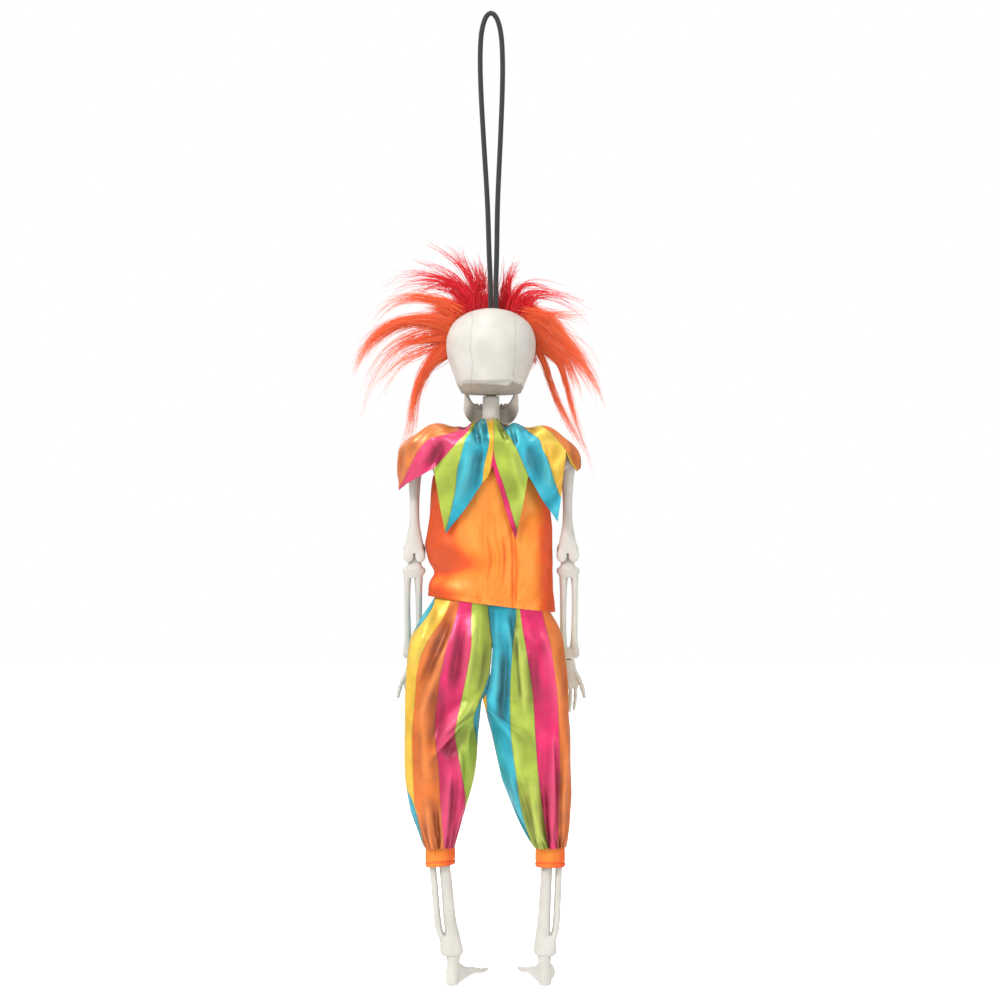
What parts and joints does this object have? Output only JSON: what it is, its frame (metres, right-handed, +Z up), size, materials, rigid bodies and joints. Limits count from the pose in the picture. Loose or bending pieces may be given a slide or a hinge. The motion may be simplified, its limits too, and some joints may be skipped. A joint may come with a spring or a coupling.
{
  "type": "hanging skeleton doll",
  "caption": "Jointed plastic skeleton in a clown's satin top, striped collar and striped harem trousers, with long hair and a cord loop to hang it by.",
  "frame": {"origin": "inner top of the hanging loop, in the plane of the neck's axis", "axes": "+Z up along the cord and the body, the doll faces -Y, its left side is +X"},
  "size_m": [0.1488, 0.0653, 0.5745],
  "materials": {
    "bone_plastic": "satin injection moulding, ivory",
    "orange_satin": "glossy satin weave, orange",
    "striped_satin": "glossy satin weave, printed in stripes of orange, magenta, lime, turquoise and yellow",
    "orange_fur": "long pile faux fur, orange",
    "red_fur": "long pile faux fur, red",
    "black_cord": "round braided cord, charcoal",
    "white_elastic": "woven tape",
    "steel": "drawn pin"
  },
  "bodies": {
    "head": {"cranium_back": "bone_plastic", "face_shell": "bone_plastic", "hair_crown_red": "red_fur", "hair_left_orange": "orange_fur", "hair_right_orange": "orange_fur", "hanging_loop": "black_cord", "loop_knot": "black_cord"},
    "jaw": {"jawbone": "bone_plastic"},
    "torso": {"neck_post": "bone_plastic", "ribcage": "bone_plastic", "spine": "bone_plastic", "pelvis": "bone_plastic", "shirt": "orange_satin", "shirt_closure_tape": "white_elastic", "collar": "striped_satin", "trousers_seat": "striped_satin", "waist_elastic": "white_elastic", "left_shoulder_pin": "steel", "right_shoulder_pin": "steel", "left_hip_pin": "steel", "right_hip_pin": "steel"},
    "left_upper_arm": {"left_humerus": "bone_plastic", "left_elbow_pin": "steel"},
    "left_lower_arm": {"left_forearm": "bone_plastic"},
    "left_hand": {"left_hand": "bone_plastic"},
    "left_thigh": {"left_femur": "bone_plastic", "left_knee_pin": "steel", "left_trouser_upper": "striped_satin"},
    "left_shin": {"left_shin": "bone_plastic", "left_trouser_lower": "striped_satin", "left_cuff": "orange_satin", "left_cuff_elastic": "white_elastic"},
    "left_foot": {"left_foot": "bone_plastic"},
    "right_upper_arm": {"right_humerus": "bone_plastic", "right_elbow_pin": "steel"},
    "right_lower_arm": {"right_forearm": "bone_plastic"},
    "right_hand": {"right_hand": "bone_plastic"},
    "right_thigh": {"right_femur": "bone_plastic", "right_knee_pin": "steel", "right_trouser_upper": "striped_satin"},
    "right_shin": {"right_shin": "bone_plastic", "right_trouser_lower": "striped_satin", "right_cuff": "orange_satin", "right_cuff_elastic": "white_elastic"},
    "right_foot": {"right_foot": "bone_plastic"}
  },
  "joints": [
    {"name": "jaw_hinge", "type": "hinge", "parent": "head", "child": "jaw", "pos_m": [0, -0.015, -0.2176], "axis": [1, 0, 0], "range_deg": [-14, 4]},
    {"name": "neck_swivel", "type": "hinge", "parent": "head", "child": "torso", "pos_m": [0, 0, -0.236], "axis": [0, 0, 1], "range_deg": [-80, 80], "deforming": ["hair_crown_red", "hair_left_orange", "hair_right_orange"]},
    {"name": "left_shoulder", "type": "hinge", "parent": "torso", "child": "left_upper_arm", "pos_m": [0.0452, -0.003, -0.262], "axis": [-1, 0, 0], "range_deg": [-60, 120], "deforming": ["collar"]},
    {"name": "left_elbow", "type": "hinge", "parent": "left_upper_arm", "child": "left_lower_arm", "pos_m": [0.0452, -0.002, -0.3175], "axis": [-1, 0, 0], "range_deg": [0, 100]},
    {"name": "left_wrist", "type": "hinge", "parent": "left_lower_arm", "child": "left_hand", "pos_m": [0.046, -0.009, -0.3798], "axis": [0, 0, 1], "range_deg": [-90, 90]},
    {"name": "right_shoulder", "type": "hinge", "parent": "torso", "child": "right_upper_arm", "pos_m": [-0.0452, -0.003, -0.262], "axis": [-1, 0, 0], "range_deg": [-60, 120]},
    {"name": "right_elbow", "type": "hinge", "parent": "right_upper_arm", "child": "right_lower_arm", "pos_m": [-0.0452, -0.002, -0.3175], "axis": [-1, 0, 0], "range_deg": [0, 100]},
    {"name": "right_wrist", "type": "hinge", "parent": "right_lower_arm", "child": "right_hand", "pos_m": [-0.046, -0.009, -0.3798], "axis": [0, 0, 1], "range_deg": [-90, 90]},
    {"name": "left_hip", "type": "hinge", "parent": "torso", "child": "left_thigh", "pos_m": [0.017, 0.001, -0.368], "axis": [-1, 0, 0], "range_deg": [-30, 90], "deforming": ["left_trouser_upper", "trousers_seat"]},
    {"name": "left_knee", "type": "hinge", "parent": "left_thigh", "child": "left_shin", "pos_m": [0.0345, 0, -0.46], "axis": [1, 0, 0], "range_deg": [0, 100], "deforming": ["left_trouser_lower"]},
    {"name": "left_ankle", "type": "hinge", "parent": "left_shin", "child": "left_foot", "pos_m": [0.0223, 0.002, -0.5544], "axis": [0, 0, 1], "range_deg": [-45, 45]},
    {"name": "right_hip", "type": "hinge", "parent": "torso", "child": "right_thigh", "pos_m": [-0.017, 0.001, -0.368], "axis": [-1, 0, 0], "range_deg": [-30, 90], "deforming": ["right_trouser_upper"]},
    {"name": "right_knee", "type": "hinge", "parent": "right_thigh", "child": "right_shin", "pos_m": [-0.0375, 0, -0.46], "axis": [1, 0, 0], "range_deg": [0, 100], "deforming": ["right_trouser_lower"]},
    {"name": "right_ankle", "type": "hinge", "parent": "right_shin", "child": "right_foot", "pos_m": [-0.0315, 0.002, -0.5544], "axis": [0, 0, 1], "range_deg": [-45, 45]}
  ]
}
